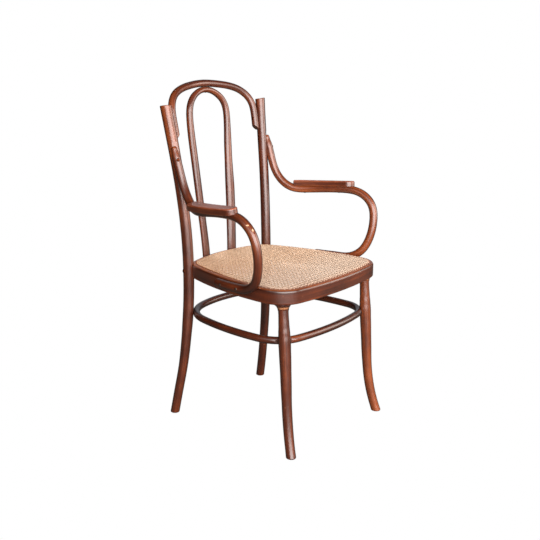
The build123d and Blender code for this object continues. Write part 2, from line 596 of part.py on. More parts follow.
# ---------------------------------------------------------------- nodes
nodes = {
    "seat_ring": [seat_ring],
    "cane_panel": [cane_panel],
    "rear_leg_right": [rear_leg],
    "rear_leg_left": [mirror(rear_leg, about=SIDE)],
    "front_leg_right": [front_leg],
    "front_leg_left": [mirror(front_leg, about=SIDE)],
    "stretcher_ring": [stretcher_ring],
    "crest_rail": [crest_rail],
    "back_hoop": [back_hoop],
    "arm_right": [arms[0]],
    "arm_left": [mirror(arms[1], about=SIDE)],
    "armrest_pad_right": [pads[0]],
    "armrest_pad_left": [mirror(pads[1], about=SIDE)],
    "rear_leg_bolts": both(bolt),
    "rear_leg_washers": both(washer),
    "rear_leg_nuts": both(nut),
    "stretcher_screws": stretcher_screws,
    "arm_post_screws": arm_post_screws,
    "arm_seat_screws": arm_seat_screws,
    "crest_screws": crest_screws,
    "hoop_crest_screw": [hoop_crest_screw],
    "hoop_seat_screws": hoop_seat_screws,
    "pad_screws": pad_screws,
}

os.makedirs("parts", exist_ok=True)
for name, shapes in nodes.items():
    solids = [Pos(0, ORIGIN_Y, 0) * s for shape in shapes for s in shape.solids()]
    body = solids[0] if len(solids) == 1 else Compound(children=solids)
    export_step(body, "parts/" + name + ".step")
    bb = body.bounding_box()
    print(name, len(solids), [round(s.volume) for s in solids], [s.is_valid for s in solids].count(False),
          [round(v, 1) for v in (*bb.min, *bb.max)])
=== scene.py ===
import json
import math

import bpy
import numpy as np
from mathutils import Matrix, Vector

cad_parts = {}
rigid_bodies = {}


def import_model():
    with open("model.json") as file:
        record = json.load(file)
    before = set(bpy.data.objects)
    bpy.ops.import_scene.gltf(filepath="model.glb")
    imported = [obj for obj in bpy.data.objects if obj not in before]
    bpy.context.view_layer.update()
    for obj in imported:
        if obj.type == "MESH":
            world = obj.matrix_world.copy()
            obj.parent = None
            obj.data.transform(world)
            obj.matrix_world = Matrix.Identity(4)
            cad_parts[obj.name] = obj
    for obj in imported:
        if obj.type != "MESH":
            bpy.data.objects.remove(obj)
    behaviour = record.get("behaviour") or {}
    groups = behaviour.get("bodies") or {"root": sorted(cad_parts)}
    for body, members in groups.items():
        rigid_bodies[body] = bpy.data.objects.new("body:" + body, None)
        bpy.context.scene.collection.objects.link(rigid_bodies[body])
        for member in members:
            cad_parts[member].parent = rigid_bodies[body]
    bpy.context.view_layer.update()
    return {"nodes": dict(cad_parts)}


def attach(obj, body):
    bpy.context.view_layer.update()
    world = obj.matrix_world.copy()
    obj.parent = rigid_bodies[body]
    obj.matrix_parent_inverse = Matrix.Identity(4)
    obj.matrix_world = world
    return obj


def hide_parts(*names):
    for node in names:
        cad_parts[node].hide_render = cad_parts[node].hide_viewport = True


for o in list(bpy.data.objects):
    bpy.data.objects.remove(o)

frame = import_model()
nodes = frame["nodes"]
scene = bpy.context.scene
rng = np.random.RandomState(7)

# ------------------------------------------------------------------ camera
C = Vector((-1.8850, -1.57955, 1.0950))
PSI, THETA, ROLL, FOCAL = math.radians(50.19), math.radians(15.03), math.radians(0.257), 874.4
f = Vector((math.sin(PSI) * math.cos(THETA), math.cos(PSI) * math.cos(THETA), -math.sin(THETA)))
r = Vector((math.cos(PSI), -math.sin(PSI), 0))
u = r.cross(f)
r2 = r * math.cos(ROLL) + u * math.sin(ROLL)
u2 = u * math.cos(ROLL) - r * math.sin(ROLL)
cam_data = bpy.data.cameras.new("camera")
cam_data.sensor_width = 36.0
cam_data.lens = 36.0 * FOCAL / 540.0
cam_data.shift_x = -1.0 / 540.0
cam_data.shift_y = 0.7 / 540.0
cam = bpy.data.objects.new("camera", cam_data)
scene.collection.objects.link(cam)
cam.matrix_world = Matrix(((r2.x, u2.x, -f.x, C.x), (r2.y, u2.y, -f.y, C.y), (r2.z, u2.z, -f.z, C.z), (0, 0, 0, 1)))
scene.camera = cam

# ------------------------------------------------------------------ centrelines of the bent members, mm
POST = [(198.6, 206.2, -22), (197.1, 201.6, 0), (192.1, 188.7, 68.4), (184.6, 175.3, 146.6), (179.1, 165.0, 234.5),
        (174.0, 159.1, 322.4), (172.3, 156.2, 420.1), (173.7, 159.8, 547.1), (181.1, 172.5, 683.9),
        (190.6, 190.4, 810.9), (199.4, 205.0, 909.2)]
LEG = [(209.9, -260.6, -22), (206.2, -253.5, 0), (197.8, -237.6, 60), (192.5, -226.7, 130), (190.4, -220.3, 220),
       (189.2, -213.6, 320), (188.5, -208.2, 400), (188.35, -207.1, 417), (188.1, -205.0, 450)]
CREST = [(0, 256.7, 959.9), (54.1, 252.9, 956.3), (103.0, 242.0, 948.2), (143.8, 229.1, 930.5),
         (167.1, 214.3, 900.1), (171.0, 204.0, 860.7), (169.8, 198.2, 829.0), (169.8, 195.4, 806.0)]
HOOP = [(0, 248.2, 942.2), (42.8, 245.0, 930.2), (70.5, 238.4, 902.0), (78.2, 233.0, 853.6), (75.2, 227.6, 791.3),
        (70.8, 220.2, 718.7), (66.9, 211.5, 637.3), (61.1, 203.2, 548.2), (55.9, 197.2, 462.0), (54.4, 196.6, 431.0)]
ARM = [(197.9, 178.8, 798.0), (197.7, 157.3, 732.5), (201.2, 132.4, 677.6), (215.5, 91.4, 644.2), (237.5, 42.5, 640.6),
       (250.5, -18.3, 646.4), (258.6, -77.4, 650.5), (266.6, -132.4, 643.6), (269.1, -171.8, 611.0),
       (263.5, -183.0, 563.7), (255.0, -177.6, 516.8), (244.5, -156.5, 475.0), (236.6, -114.0, 452.0),
       (233.9, -76.0, 449.0), (229.0, -38.0, 448.0), (222.0, 0.0, 447.5)]
PAD = [(226.0, 92.0, 652.0), (243.0, 42.0, 656.0), (254.5, -10.0, 660.0), (266.0, -86.5, 666.0), (268.0, -112.0, 668.0)]
SEAT = (-259.6, [996.3, 75.2, 862.0, 66.0], [9.45, 79.8, 20.85, 51.3])
STRETCH = (-230.6, [748.0, 87.2, 731.7, 140.6], [10.31, 75.82, 17.69, 62.77])
SEAT_TOP, RING_W = 462.0, 44.0


def smooth_line(points, count=260):
    """Catmull-Rom line through points, as an array in metres."""
    p = np.array(points, float) / 1000
    p = np.vstack([2 * p[0] - p[1], p, 2 * p[-1] - p[-2]])
    out = []
    n = len(p) - 3
    for t in np.linspace(0, n, count):
        i = min(int(t), n - 1)
        k = t - i
        a, b, c, d = p[i:i + 4]
        out.append(0.5 * (2 * b + (c - a) * k + (2 * a - 5 * b + 4 * c - d) * k * k + (3 * b - a - 3 * c + d) * k ** 3))
    return np.array(out)


def ring_line(front_y, radii, turns, inset=0.0, per=70):
    """Closed outline of tangent arcs in plan, metres, from the middle of the front, anticlockwise seen from above."""
    t = [math.radians(a) for a in turns]
    t.append(math.pi - sum(t))
    ph = np.concatenate([[0], np.cumsum(t)])
    rad = list(radii)
    rad.append(sum(rad[i] * (math.sin(ph[i + 1]) - math.sin(ph[i])) for i in range(4)) / math.sin(ph[4]))
    x, y = 0.0, front_y + inset
    half = []
    for i in range(5):
        q = rad[i] - inset
        cx, cy = x - q * math.sin(ph[i]), y + q * math.cos(ph[i])
        a = np.linspace(ph[i], ph[i + 1], per)
        pts = np.c_[cx + q * np.sin(a), cy - q * np.cos(a)]
        x, y = pts[-1]
        half.append(pts[:-1])
    half = np.vstack(half + [np.array([[0.0, y]])])
    other = half[1:-1][::-1] * np.array([-1, 1])
    whole = np.vstack([half, other]) / 1000
    d = np.concatenate([[0], np.cumsum(np.hypot(*np.diff(np.vstack([whole, whole[:1]]), axis=0).T))])
    s = np.linspace(0, d[-1], 900, endpoint=False)
    closed = np.vstack([whole, whole[:1]])
    return np.c_[np.interp(s, d, closed[:, 0]), np.interp(s, d, closed[:, 1])]


# ------------------------------------------------------------------ grain coordinates on the CAD meshes
def frames(line, closed, hint):
    t = np.roll(line, -1, 0) - np.roll(line, 1, 0) if closed else np.gradient(line, axis=0)
    t /= np.linalg.norm(t, axis=1)[:, None]
    n = np.zeros_like(t)
    x = np.array(hint, float)
    for i in range(len(t)):
        x = x - t[i] * (x @ t[i])
        x /= np.linalg.norm(x)
        n[i] = x
    return t, n, np.cross(t, n)


def grain(node, line, seed, closed=False, hint=(1, 0, 0)):
    """Stores, at every face corner, where it lies in its member: two offsets across and the length along, metres."""
    mesh = nodes[node].data
    t, n, b = frames(line, closed, hint)
    seg = np.linalg.norm(np.diff(line, axis=0), axis=1)
    s = np.concatenate([[0], np.cumsum(seg)])
    total = s[-1] + (np.linalg.norm(line[0] - line[-1]) if closed else 0)
    co = np.zeros(len(mesh.vertices) * 3)
    mesh.vertices.foreach_get("co", co)
    co = co.reshape(-1, 3)
    val = np.zeros_like(co)
    for k in range(0, len(co), 3000):
        v = co[k:k + 3000]
        j = ((v[:, None, :] - line[None]) ** 2).sum(2).argmin(1)
        d = v - line[j]
        val[k:k + 3000] = np.c_[(d * n[j]).sum(1), (d * b[j]).sum(1), s[j] + (d * t[j]).sum(1)]
    vi = np.zeros(len(mesh.loops), np.int32)
    mesh.loops.foreach_get("vertex_index", vi)
    c = val[vi]
    if closed:
        start = np.zeros(len(mesh.polygons), np.int32)
        count = np.zeros(len(mesh.polygons), np.int32)
        mesh.polygons.foreach_get("loop_start", start)
        mesh.polygons.foreach_get("loop_total", count)
        owner = np.repeat(np.arange(len(start)), count)
        hi = np.full(len(start), -1e9)
        np.maximum.at(hi, owner, c[:, 2])
        wrap = (hi[owner] - c[:, 2]) > total / 2
        c[wrap, 2] += total
    c = c + np.array([0.0, 0.0, 3.17 * seed])
    at = mesh.attributes.new("grain", "FLOAT_VECTOR", "CORNER")
    at.data.foreach_set("vector", c.astype(np.float32).ravel())


def flipx(line):
    return line * np.array([-1, 1, 1])


post, leg, arm, pad = smooth_line(POST), smooth_line(LEG), smooth_line(ARM, 400), smooth_line(PAD, 120)
crest_half, hoop_half = smooth_line(CREST, 200), smooth_line(HOOP, 240)
crest = np.vstack([flipx(crest_half)[::-1][:-1], crest_half])
hoop = np.vstack([flipx(hoop_half)[::-1][:-1], hoop_half])
grain("rear_leg_right", post, 1)
grain("rear_leg_left", flipx(post), 2)
grain("front_leg_right", leg, 3)
grain("front_leg_left", flipx(leg), 4)
grain("arm_right", arm, 5)
grain("arm_left", flipx(arm), 6)
grain("armrest_pad_right", pad, 7)
grain("armrest_pad_left", flipx(pad), 8)
grain("crest_rail", crest, 9, hint=(0, 1, 0))
grain("back_hoop", hoop, 10, hint=(0, 1, 0))
ring_mid = ring_line(*SEAT, inset=RING_W / 2)
grain("seat_ring", np.c_[ring_mid, np.full(len(ring_mid), 0.442)], 11, True, (0, 0, 1))
st_mid = ring_line(*STRETCH)
grain("stretcher_ring", np.c_[st_mid, np.full(len(st_mid), 0.3134)], 12, True, (0, 0, 1))


# ------------------------------------------------------------------ materials
def lin(r, g, b):
    """sRGB 0..255 to linear."""
    out = []
    for c in (r, g, b):
        c = c / 255
        out.append(c / 12.92 if c <= 0.04045 else ((c + 0.055) / 1.055) ** 2.4)
    return (*out, 1.0)


class Mat:
    """Small helper for building node trees."""

    def __init__(self, name):
        self.m = bpy.data.materials.new(name)
        self.m.use_nodes = True
        self.t = self.m.node_tree
        self.b = self.t.nodes["Principled BSDF"]

    def node(self, kind, **kw):
        n = self.t.nodes.new(kind)
        for k, v in kw.items():
            setattr(n, k, v)
        return n

    def put(self, sock, v):
        if hasattr(v, "default_value") and hasattr(v, "links"):
            self.t.links.new(v, sock)
        else:
            sock.default_value = v

    def math(self, op, a, b=0.0, clamp=False):
        n = self.node("ShaderNodeMath", operation=op, use_clamp=clamp)
        self.put(n.inputs[0], a)
        self.put(n.inputs[1], b)
        return n.outputs[0]

    def ramp(self, v, lo, hi, a=0.0, b=1.0):
        n = self.node("ShaderNodeMapRange", interpolation_type="SMOOTHSTEP", clamp=True)
        for i, x in enumerate((v, lo, hi, a, b)):
            self.put(n.inputs[i], x)
        return n.outputs[0]

    def noise(self, vec, scale, size=1.0, detail=4.0, rough=0.55, off=(0, 0, 0), distort=0.0):
        mp = self.node("ShaderNodeMapping")
        self.put(mp.inputs["Vector"], vec)
        mp.inputs["Scale"].default_value = scale
        mp.inputs["Location"].default_value = off
        n = self.node("ShaderNodeTexNoise")
        self.put(n.inputs["Vector"], mp.outputs[0])
        n.inputs["Scale"].default_value = size
        n.inputs["Detail"].default_value = detail
        n.inputs["Roughness"].default_value = rough
        n.inputs["Distortion"].default_value = distort
        return n.outputs["Fac"]

    def mix(self, fac, a, b, blend="MIX"):
        n = self.node("ShaderNodeMix", data_type="RGBA", blend_type=blend)
        self.put(n.inputs["Factor"], fac)
        self.put([s for s in n.inputs if s.name == "A" and s.type == "RGBA"][0], a)
        self.put([s for s in n.inputs if s.name == "B" and s.type == "RGBA"][0], b)
        return [s for s in n.outputs if s.type == "RGBA"][0]

    def colours(self, v, stops):
        n = self.node("ShaderNodeValToRGB")
        self.put(n.inputs[0], v)
        e = n.color_ramp.elements
        while len(e) < len(stops):
            e.new(0.5)
        for el, (p, c) in zip(e, stops):
            el.position = p
            el.color = c
        return n.outputs[0]

    def bump(self, height, strength, distance, normal=None):
        n = self.node("ShaderNodeBump")
        n.inputs["Strength"].default_value = strength
        n.inputs["Distance"].default_value = distance
        self.put(n.inputs["Height"], height)
        if normal is not None:
            self.put(n.inputs["Normal"], normal)
        return n.outputs[0]


def z_of(m, pos):
    n = m.node("ShaderNodeSeparateXYZ")
    m.put(n.inputs[0], pos)
    return n.outputs


def wood(name, warm=0.0, wear_and_highlight=None, grazing_shade=0.0, rub_and_highlight_colours=((128, 62, 28), (168, 96, 50)), pale_spots=()):
    """Dark stained, varnished bent beech. warm moves the tone towards orange; the function after it paints worn edges,
    and on the pad tops and the front-leg collars a painted highlight, in the two colours given;
    the number after that is painted shade: it darkens the stain towards the outlines, where the surface is seen at a
    grazing angle;
    the spots are small pale patches, each a middle and three half-lengths in metres."""
    m = Mat(name)
    g = m.node("ShaderNodeAttribute", attribute_name="grain").outputs["Vector"]
    geo = m.node("ShaderNodeNewGeometry")
    pos = geo.outputs["Position"]
    fibre = m.noise(g, (420, 420, 7), 1.0, 6, 0.62)
    streak = m.noise(g, (95, 95, 2.2), 1.0, 5, 0.6, (3, 1, 2))
    cloud = m.noise(pos, (9, 9, 9), 1.0, 3, 0.5, (1.7, 0.3, 4.1))
    pore = m.ramp(m.noise(g, (1500, 1500, 75), 1.0, 2, 0.5, (5, 2, 1)), 0.62, 0.72)
    tone = m.math("ADD", m.math("MULTIPLY", fibre, 0.30), m.math("MULTIPLY", streak, 0.45))
    tone = m.math("ADD", tone, m.math("MULTIPLY", cloud, 0.40))
    tone = m.math("ADD", tone, -0.08 + warm * 0.35)
    # painted light: the tone is paler towards the top of the chair, where more light falls
    tone = m.math("ADD", tone, m.ramp(z_of(m, pos)["Z"], 0.42, 0.90, 0.0, 0.06))
    col = m.colours(tone, [(0.28, lin(29, 10, 6)), (0.42, lin(58, 23, 11)), (0.56, lin(92, 40, 19)), (0.76, lin(156, 78, 34))])
    col = m.mix(m.math("MULTIPLY", pore, 0.45), col, lin(38, 15, 9))
    mottle = m.noise(g, (160, 160, 18), 1.0, 5, 0.65, (2, 9, 4))
    rough = m.math("ADD", 0.24, m.math("MULTIPLY", m.noise(pos, (60, 60, 60), 1.0, 4, 0.6), 0.16))
    # worn patches, and on the pad tops and the front-leg collars a painted highlight, in the two given colours
    if wear_and_highlight is not None:
        wear_and_highlight_mask = wear_and_highlight(m, geo, pos, g, mottle)
        col = m.mix(wear_and_highlight_mask, col, m.mix(mottle, lin(*rub_and_highlight_colours[0]), lin(*rub_and_highlight_colours[1])))
        rough = m.math("ADD", rough, m.math("MULTIPLY", wear_and_highlight_mask, 0.14))
    # small pale knocks and rubs in the varnish
    knock = m.ramp(m.noise(pos, (150, 150, 90), 1.0, 2, 0.5, (7, 7, 7)), 0.735, 0.765)
    col = m.mix(m.math("MULTIPLY", knock, 0.4), col, lin(150, 96, 66))
    # painted shade: the stain darkens towards each member's outlines, where the surface is seen at a grazing angle
    if grazing_shade:
        lw = m.node("ShaderNodeLayerWeight")
        lw.inputs["Blend"].default_value = 0.5
        col = m.mix(m.ramp(lw.outputs["Facing"], 0.26, 0.80, 0.0, grazing_shade), col, lin(20, 6, 3))
    # small pale ragged patches at the given spots
    for mid, half in pale_spots:
        mp = m.node("ShaderNodeMapping", vector_type="TEXTURE")
        m.put(mp.inputs["Vector"], pos)
        mp.inputs["Location"].default_value = mid
        mp.inputs["Scale"].default_value = half
        ln = m.node("ShaderNodeVectorMath", operation="LENGTH")
        m.put(ln.inputs[0], mp.outputs[0])
        ragged = m.math("ADD", ln.outputs["Value"], m.math("MULTIPLY", m.math("SUBTRACT", mottle, 0.5), 1.2))
        col = m.mix(m.ramp(ragged, 1.05, 0.75, 0.0, 0.9), col, lin(240, 190, 148))
    m.put(m.b.inputs["Base Color"], col)
    m.put(m.b.inputs["Roughness"], rough)
    m.b.inputs["Specular IOR Level"].default_value = 0.25
    m.b.inputs["Coat Weight"].default_value = 1.0
    m.b.inputs["Coat Roughness"].default_value = 0.32
    m.b.inputs["Coat IOR"].default_value = 1.75
    h = m.bump(fibre, 0.06, 0.0005)
    h = m.bump(m.noise(pos, (38, 38, 38), 1.0, 2, 0.5), 0.10, 0.004, h)
    m.put(m.b.inputs["Normal"], h)
    return m.m


def ring_wear(m, geo, pos, g, mottle):
    z = z_of(m, pos)["Z"]
    top = m.ramp(z, 0.4585, 0.4616)
    return m.math("MULTIPLY", top, m.ramp(mottle, 0.30, 0.62, 0.25, 0.95))


def pad_wear_and_top_sheen(m, geo, pos, g, mottle):
    nz = z_of(m, geo.outputs["Normal"])["Z"]
    # painted sheen: the top faces are lightened, as where the light falls on them; the edges below are worn
    top = m.ramp(nz, 0.80, 0.99, 0.0, 0.45)
    edge = m.math("MULTIPLY", m.ramp(nz, 0.99, 0.80), m.ramp(nz, 0.20, 0.55))
    both = m.math("MAXIMUM", top, edge)
    return m.math("MULTIPLY", both, m.ramp(mottle, 0.30, 0.66, 0.45, 1.0))


def arm_wear(m, geo, pos, g, mottle):
    return m.math("MULTIPLY", m.ramp(mottle, 0.60, 0.78), 0.55)


def collar_painted_highlight(m, geo, pos, g, mottle):
    # painted highlight: a bright ring round the cove of each front-leg collar, just under the seat, standing for the
    # floor's reflection
    z = z_of(m, pos)["Z"]
    highlight_band = m.math("MULTIPLY", m.ramp(z, 0.4075, 0.4105), m.ramp(z, 0.4160, 0.4135))
    return m.math("MULTIPLY", highlight_band, m.ramp(mottle, 0.25, 0.60, 0.55, 1.0))


wood_leg = wood("stained_wood_rear_leg_left", 0.20, None, 0.85)
wood_leg_2 = wood("stained_wood_rear_leg_right", 0.04, None, 0.85)
# the front legs carry a painted highlight on their collars, in these two pale colours
wood_front = wood("stained_wood_front_leg_left", 0.04, collar_painted_highlight, 0.8, ((150, 76, 30), (238, 176, 128)))
# painted light: the right front leg is a warmer, brighter copy of the same stain, where the side light falls on it
wood_front_right_lit = wood("stained_wood_front_leg_right", 0.42, collar_painted_highlight, 0.8, ((150, 76, 30), (238, 176, 128)))
wood_stretch = wood("stained_wood_stretcher", -0.02, None, 0.9)
wood_back = wood("stained_wood_back", 0.12, None, 0.85)
wood_arm = wood("stained_wood_arm_left", 0.06, arm_wear, 0.8,
                pale_spots=(((-0.2768, -0.1610, 0.6362), (0.0048, 0.0048, 0.0022)), ((-0.2724, -0.1755, 0.6255), (0.0024, 0.0030, 0.0048))))
# painted light: the right arm is a warmer, brighter copy of the same stain, where the side light falls on it
wood_arm_right_lit = wood("stained_wood_arm_right", 0.36, arm_wear, 0.8)
wood_ring = wood("stained_wood_ring", 0.02, ring_wear)
# the pads' two colours serve their worn edges and the painted sheen on their tops
wood_pad = wood("stained_wood_pads", 0.20, pad_wear_and_top_sheen, 0.0, ((140, 66, 34), (196, 112, 80)))
for names, mat in ((("rear_leg_left",), wood_leg), (("rear_leg_right",), wood_leg_2), (("front_leg_left",), wood_front),
                   (("front_leg_right",), wood_front_right_lit), (("stretcher_ring",), wood_stretch),
                   (("crest_rail", "back_hoop"), wood_back), (("arm_left",), wood_arm), (("arm_right",), wood_arm_right_lit),
                   (("seat_ring",), wood_ring), (("armrest_pad_right", "armrest_pad_left"), wood_pad)):
    for n in names:
        nodes[n].data.materials.clear()
        nodes[n].data.materials.append(mat)


def steel(name, tones):
    m = Mat(name)
    geo = m.node("ShaderNodeNewGeometry")
    pos = geo.outputs["Position"]
    tarnish = m.noise(pos, (700, 700, 700), 1.0, 5, 0.6)
    fine = m.noise(pos, (2600, 2600, 2600), 1.0, 3, 0.5)
    col = m.colours(tarnish, [(p, lin(*c)) for p, c in zip((0.30, 0.55, 0.75), tones)])
    m.put(m.b.inputs["Base Color"], col)
    m.b.inputs["Metallic"].default_value = 1.0
    m.put(m.b.inputs["Roughness"], m.math("ADD", 0.28, m.math("MULTIPLY", tarnish, 0.28)))
    m.put(m.b.inputs["Normal"], m.bump(fine, 0.15, 0.0002))
    return m.m


steel_mat = steel("dulled_steel", ((92, 78, 66), (150, 138, 126), (178, 168, 158)))
brown_mat = steel("browned_steel", ((74, 38, 24), (118, 62, 38), (146, 88, 60)))
for n in nodes:
    if n.endswith("_screws") or n.endswith("_screw") or n.startswith("rear_leg_bolts") or n in ("rear_leg_washers", "rear_leg_nuts"):
        nodes[n].data.materials.clear()
        nodes[n].data.materials.append(steel_mat if n in ("stretcher_screws", "arm_seat_screws", "rear_leg_nuts") else brown_mat)


def cane(name, dark, mid, light):
    m = Mat(name)
    g = m.node("ShaderNodeAttribute", attribute_name="strand").outputs["Vector"]
    geo = m.node("ShaderNodeNewGeometry")
    pos = geo.outputs["Position"]
    fibre = m.noise(g, (2600, 1500, 9), 1.0, 4, 0.6)
    tone = m.noise(g, (0.001, 37.3, 6), 1.0, 2, 0.5)
    patch = m.noise(pos, (7, 7, 7), 1.0, 3, 0.55)
    v = m.math("ADD", m.math("MULTIPLY", fibre, 0.28), m.math("MULTIPLY", tone, 0.42))
    v = m.math("ADD", v, m.math("MULTIPLY", patch, 0.34))
    # painted shade: the cane darkens towards the left (-x) side, standing for the shadow of the left arm and armrest
    v = m.math("ADD", v, m.ramp(z_of(m, pos)["X"], 0.06, -0.17, 0.0, -0.15))
    col = m.colours(v, [(0.30, dark), (0.52, mid), (0.72, light)])
    # painted shade along the edges of each strand, darkening the gaps and holes between them
    sx = m.node("ShaderNodeSeparateXYZ")
    m.put(sx.inputs[0], g)
    edge = m.ramp(m.math("ABSOLUTE", sx.outputs["X"]), 0.00095, 0.00160)
    # greyer towards the front
    front = m.ramp(z_of(m, pos)["Y"], 0.06, -0.20)
    col = m.mix(m.math("MULTIPLY", front, 0.50), col, lin(208, 194, 180))
    col = m.mix(m.math("MULTIPLY", edge, 0.75), col, lin(92, 62, 40))
    m.put(m.b.inputs["Base Color"], col)
    m.put(m.b.inputs["Roughness"], m.math("ADD", 0.42, m.math("MULTIPLY", fibre, 0.2)))
    m.put(m.b.inputs["Normal"], m.bump(fibre, 0.25, 0.0003))
    return m.m


cane_mat = cane("woven_cane", lin(188, 147, 115), lin(224, 190, 158), lin(238, 211, 184))
bind_mat = cane("cane_binding", lin(150, 88, 52), lin(204, 140, 96), lin(232, 180, 138))
nodes["cane_panel"].data.materials.clear()
nodes["cane_panel"].data.materials.append(cane_mat)

# ------------------------------------------------------------------ woven seat
P, EDGE = 0.0124, 0.0148
W_PAIR, W_DIAG, T = 0.0030, 0.0033, 0.00080
GAP = 0.00155                     # half the distance between the two strands of a pair
RISE = 0.00060
Z0 = SEAT_TOP / 1000 + 0.00120
rim = ring_line(*SEAT, inset=EDGE * 1000)
inner = ring_line(*SEAT, inset=RING_W)
verts, faces, tris, strand, mats, tri_mats = [], [], [], [], [], []


def sag(xy):
    """The weave hangs a little inside the ring."""
    d = np.sqrt(((xy[:, None, :] - inner[None, ::6]) ** 2).sum(2)).min(1)
    a = np.arctan2(xy[:, 1] + 0.03, xy[:, 0])
    ia = np.arctan2(inner[:, 1] + 0.03, inner[:, 0])
    o = np.argsort(ia)
    rad = np.interp(a, ia[o], np.hypot(inner[o, 0], inner[o, 1] + 0.03), period=2 * math.pi)
    inside = np.hypot(xy[:, 0], xy[:, 1] + 0.03) < rad
    k = np.clip(d / 0.11, 0, 1)
    return np.where(inside, -0.0024 * k * k * (3 - 2 * k), 0.0)


def ribbon(pts, width, thick, tag, mat, side=None):
    """Closed ribbon along points, rounded above and flat beneath."""
    pts = np.asarray(pts, float)
    n = len(pts)
    if side is None:
        d = np.gradient(pts, axis=0)
        side = np.c_[-d[:, 1], d[:, 0], np.zeros(n)]
        side /= np.linalg.norm(side, axis=1)[:, None]
    up = np.array([0, 0, 1.0])
    base = sum(len(v) for v in verts)
    s = np.concatenate([[0], np.cumsum(np.linalg.norm(np.diff(pts, axis=0), axis=1))])
    sect = [(-0.5, -0.35), (-0.30, 0.75), (0.0, 1.0), (0.30, 0.75), (0.5, -0.35), (0.40, -1.0), (-0.40, -1.0)]
    m = len(sect)
    block = np.stack([pts + side * width * o + up * thick * z for o, z in sect], 1)
    att = np.stack([np.c_[np.full(n, o * width), np.full(n, tag), s] for o, z in sect], 1)
    verts.append(block.reshape(-1, 3))
    strand.append(att.reshape(-1, 3))
    i = np.arange(n - 1)[:, None] * m
    quad = [np.c_[i + k, i + (k + 1) % m, i + m + (k + 1) % m, i + m + k] for k in range(m)]
    q = np.vstack(quad) + base
    e = m * (n - 1)
    caps = np.array([[4, 3, 2, 1], [5, 4, 1, 0]]) + base
    tail = np.array([[1, 2, 3, 4], [1, 4, 5, 0]]) + base + e
    faces.append(np.vstack([q, caps, tail]))
    tris.append(np.array([[0, 6, 5], [0 + e, 5 + e, 6 + e]]) + base)
    mats.append(np.full(len(q) + 4, mat))
    tri_mats.append(np.full(2, mat))


def span(direction, offset_point):
    """Where the line offset_point + t * direction enters and leaves the rim."""
    d = np.array(direction)
    nrm = np.array([-d[1], d[0]])
    side = (rim - offset_point) @ nrm
    nxt = np.roll(side, -1)
    hit = np.nonzero(side * nxt < 0)[0]
    if len(hit) != 2:
        return None
    ts = []
    for h in hit:
        k = side[h] / (side[h] - nxt[h])
        p = rim[h] + (np.roll(rim, -1, 0)[h] - rim[h]) * k
        ts.append((p - offset_point) @ d)
    return min(ts), max(ts)


def lay(direction, origin, marks, width, tag):
    """One strand: marks are (t, height) along it; its ends dip into the rim's holes."""
    got = span(direction, np.array(origin))
    if got is None or got[1] - got[0] < 0.03:
        return
    a, b = got
    rows = [(a - 0.0002, -0.0016), (a + 0.0022, 0.0001)]
    rows += [(t, h) for t, h in marks if a + 0.0045 < t < b - 0.0045]
    rows += [(b - 0.0022, 0.0001), (b + 0.0002, -0.0016)]
    t = np.array([x[0] for x in rows])
    h = np.array([x[1] for x in rows])
    xy = np.array(origin)[None] + t[:, None] * np.array(direction)[None]
    ribbon(np.c_[xy, Z0 + h + sag(xy)], width, T, tag, 0)


tag = 0
N = 24
for i in range(-N, N + 1):
    for k, sgn in ((0, 1), (1, -1)):
        off = i * P + (GAP if k else -GAP) + rng.uniform(-1, 1) * 0.00012
        # front-to-back strand: under, over the crosswise pair
        marks = []
        for j in range(-N, N + 1):
            y = j * P
            marks += [(y - GAP, -sgn * RISE), (y + GAP, sgn * RISE)]
        lay((0, 1), (off, 0.0), marks, W_PAIR, tag)
        tag += 1
        marks = []
        for j in range(-N, N + 1):
            x = j * P
            marks += [(x - GAP, sgn * RISE), (x + GAP, -sgn * RISE)]
        lay((1, 0), (0.0, i * P + (GAP if k else -GAP) + rng.uniform(-1, 1) * 0.00012), marks, W_PAIR, tag)
        tag += 1
q = math.sqrt(0.5)
for k in range(-2 * N, 2 * N + 1):
    c = (k + 0.5) * P
    # slanting strands cross the pairs midway between their crossings: one goes over the lengthwise pairs
    # and under the crosswise ones, the other the other way round
    for sx, hi in ((1, 1.0), (-1, -1.0)):
        marks = []
        for j in range(-2 * N, 2 * N + 1):
            marks.append((j * P / q, hi * 2.2 * RISE))
            marks.append(((j + 0.5) * P / q, -hi * 2.2 * RISE))
        marks.sort()
        lay((sx * q, q), (0.0, c), marks, W_DIAG, tag)
        tag += 1

# binding laid along the holes, tied down by a loop at each
out_n = np.c_[np.roll(rim, -1, 0)[:, 1] - np.roll(rim, 1, 0)[:, 1], -(np.roll(rim, -1, 0)[:, 0] - np.roll(rim, 1, 0)[:, 0])]
out_n /= np.linalg.norm(out_n, axis=1)[:, None]
loop_id = np.arange(0, len(rim) + 1, 3) % len(rim)
bp = np.c_[rim[loop_id], np.full(len(loop_id), SEAT_TOP / 1000 + 0.00072)]
ribbon(bp, 0.0046, 0.00075, tag, 1, np.c_[out_n[loop_id], np.zeros(len(loop_id))])
tag += 1
rim_len = np.linalg.norm(np.diff(np.vstack([rim, rim[:1]]), axis=0), axis=1).sum()
ties = int(round(rim_len / P))
for k in range(ties):
    j = int(round(k * len(rim) / ties)) % len(rim)
    w = 1.0 + rng.uniform(-0.15, 0.25)
    prof = [(-0.0040, -0.0006), (-0.0030, 0.0009), (-0.0012, 0.0019), (0.0008, 0.0019), (0.0026 * w, 0.0010), (0.0036 * w, -0.0006)]
    pts = [(*(rim[j] + out_n[j] * o), SEAT_TOP / 1000 + z) for o, z in prof]
    side = np.tile(np.array([[-out_n[j, 1], out_n[j, 0], 0]]), (len(prof), 1))
    ribbon(pts, 0.0030, 0.00045, tag, 1, side)
    tag += 1

